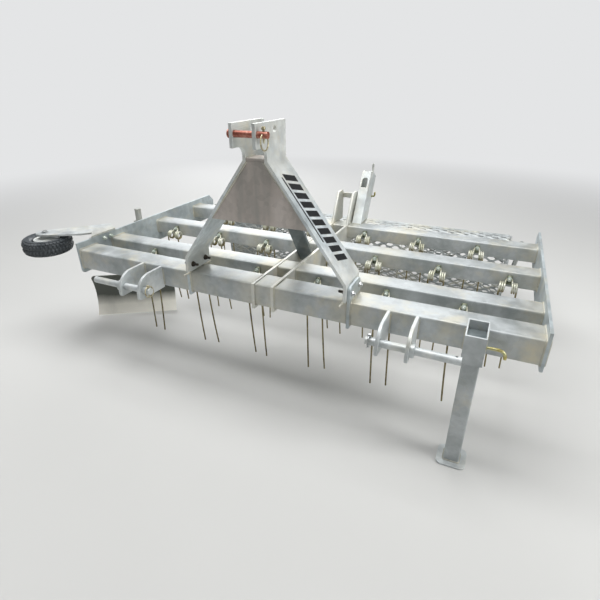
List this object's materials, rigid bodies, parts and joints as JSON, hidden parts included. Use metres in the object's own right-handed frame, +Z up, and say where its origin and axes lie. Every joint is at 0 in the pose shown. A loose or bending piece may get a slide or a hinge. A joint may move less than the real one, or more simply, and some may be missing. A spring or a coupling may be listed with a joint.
{
  "type": "three-point arena harrow",
  "caption": "Three-point linkage arena harrow: flat box-tube frame with headstock, rows of double spring tines, rear mesh roller, parking stand, edge blade and sideways guide wheel.",
  "frame": {"origin": "on the ground under the middle of the bounding box", "axes": "+X to the harrow's right seen from the front, across the frame; +Y from the linkage to the roller; +Z up"},
  "size_m": [2.397, 1.734, 1.145],
  "materials": {
    "galvanised_steel": "hot-dip galvanised, bright with a faint mottle",
    "yellow_zinc_steel": "yellow passivated zinc plate",
    "bright_zinc_steel": "bright zinc plate",
    "copper_coated_steel": "copper red coating, semi-gloss",
    "blade_steel": "galvanised sheet, dull and pale",
    "black_rubber": "moulded rubber",
    "grey_painted_steel": "light grey paint"
  },
  "bodies": {
    "frame": {"adjuster_guide": "galvanised_steel", "adjuster_pin": "yellow_zinc_steel", "centre_rib_left": "galvanised_steel", "centre_rib_right": "galvanised_steel", "front_beam": "galvanised_steel", "guide_wheel_arm": "galvanised_steel", "guide_wheel_axle": "bright_zinc_steel", "guide_wheel_bracket": "galvanised_steel", "headstock_arm_left": "galvanised_steel", "headstock_arm_right": "galvanised_steel", "headstock_crosspiece": "galvanised_steel", "headstock_ear_left": "galvanised_steel", "headstock_ear_right": "galvanised_steel", "headstock_gusset": "galvanised_steel", "headstock_stay": "galvanised_steel", "link_plate_left_inner": "galvanised_steel", "link_plate_left_outer": "galvanised_steel", "link_plate_right_inner": "galvanised_steel", "link_plate_right_outer": "galvanised_steel", "lower_linchpin_left": "bright_zinc_steel", "lower_linchpin_right": "bright_zinc_steel", "lower_link_pin_left": "galvanised_steel", "lower_link_pin_right": "galvanised_steel", "post_bridge": "galvanised_steel", "shank_sleeve": "galvanised_steel", "side_plate_left": "galvanised_steel", "side_plate_right": "galvanised_steel", "stand_pin": "yellow_zinc_steel", "stand_sleeve": "galvanised_steel", "tine_beam_front": "galvanised_steel", "tine_beam_middle": "galvanised_steel", "tine_beam_rear": "galvanised_steel", "tines_front": "yellow_zinc_steel", "tines_middle": "yellow_zinc_steel", "tines_rear": "yellow_zinc_steel", "top_linchpin": "bright_zinc_steel", "top_link_pin": "copper_coated_steel"},
    "stand_leg": {"stand_leg": "galvanised_steel", "stand_foot": "galvanised_steel"},
    "roller_frame": {"roller_crossbar": "galvanised_steel", "roller_arm_left": "galvanised_steel", "roller_arm_right": "galvanised_steel", "roller_bearing_left": "galvanised_steel", "roller_bearing_right": "galvanised_steel", "adjuster_lever": "galvanised_steel"},
    "roller": {"roller_mesh": "galvanised_steel", "roller_end_left": "galvanised_steel", "roller_end_right": "galvanised_steel", "roller_shaft": "galvanised_steel"},
    "edge_blade": {"edge_blade": "blade_steel", "blade_bracket": "galvanised_steel", "blade_shank": "galvanised_steel"},
    "guide_wheel": {"guide_wheel_tyre": "black_rubber", "guide_wheel_rim": "grey_painted_steel"}
  },
  "joints": [
    {"name": "roller_tilt", "type": "hinge", "parent": "frame", "child": "roller_frame", "pos_m": [0.1845, 0.316, 0.495], "axis": [1, 0, 0], "range_deg": [-8, 12]},
    {"name": "roller_spin", "type": "hinge", "parent": "roller_frame", "child": "roller", "pos_m": [0.1845, 0.641, 0.226], "axis": [1, 0, 0], "continuous": true},
    {"name": "stand_slide", "type": "slide", "parent": "frame", "child": "stand_leg", "axis": [0, 0, 1], "range_m": [0, 0.3]},
    {"name": "blade_slide", "type": "slide", "parent": "frame", "child": "edge_blade", "axis": [0, 0, 1], "range_m": [0, 0.12]},
    {"name": "wheel_spin", "type": "hinge", "parent": "frame", "child": "guide_wheel", "pos_m": [-1.0815, -0.675, 0.528], "axis": [0, 0, 1], "continuous": true}
  ]
}
